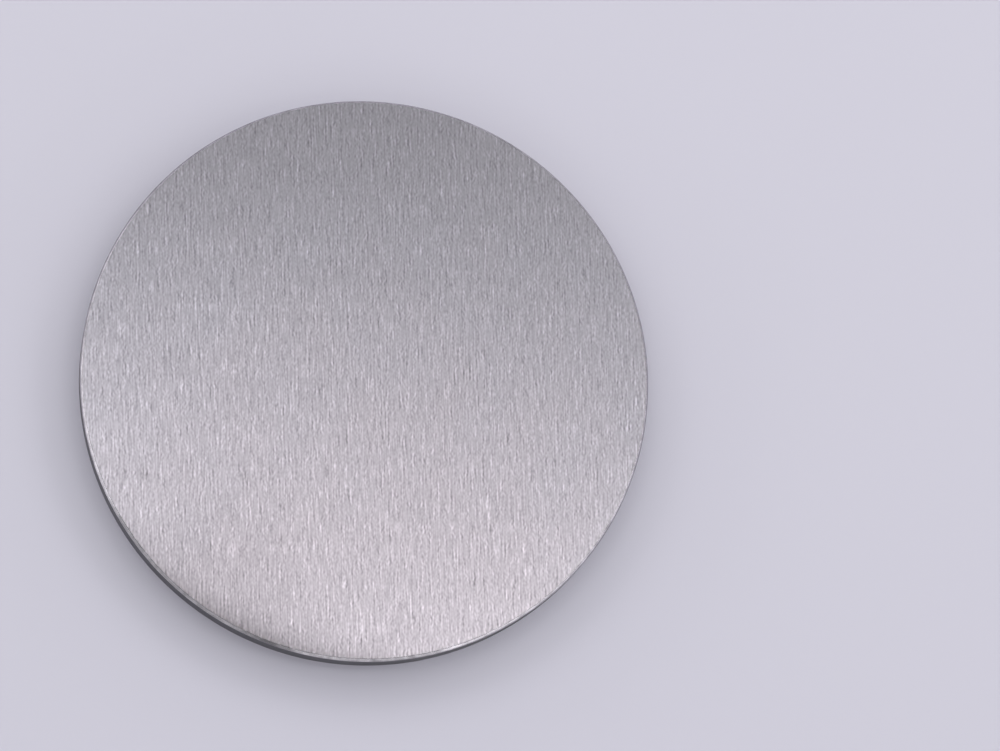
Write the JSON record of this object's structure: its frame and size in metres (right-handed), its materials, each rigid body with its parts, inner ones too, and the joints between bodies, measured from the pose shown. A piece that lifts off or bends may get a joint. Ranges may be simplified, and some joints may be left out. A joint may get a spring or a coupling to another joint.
{
  "type": "sputtering target",
  "caption": "Round flat solid disc of refractory metal alloy with ground faces, a turned rim and small edge breaks, sputtered to deposit thin films.",
  "frame": {"origin": "centre of the back face, which rests on the cathode", "axes": "+Z along the disc's axis, out of the ground front face that is sputtered; +Y along the grinding lines of the faces"},
  "size_m": [0.0508, 0.0508, 0.003],
  "materials": {
    "ground_alloy": "satin"
  },
  "bodies": {
    "root": {"target_disc": "ground_alloy"}
  },
  "joints": []
}
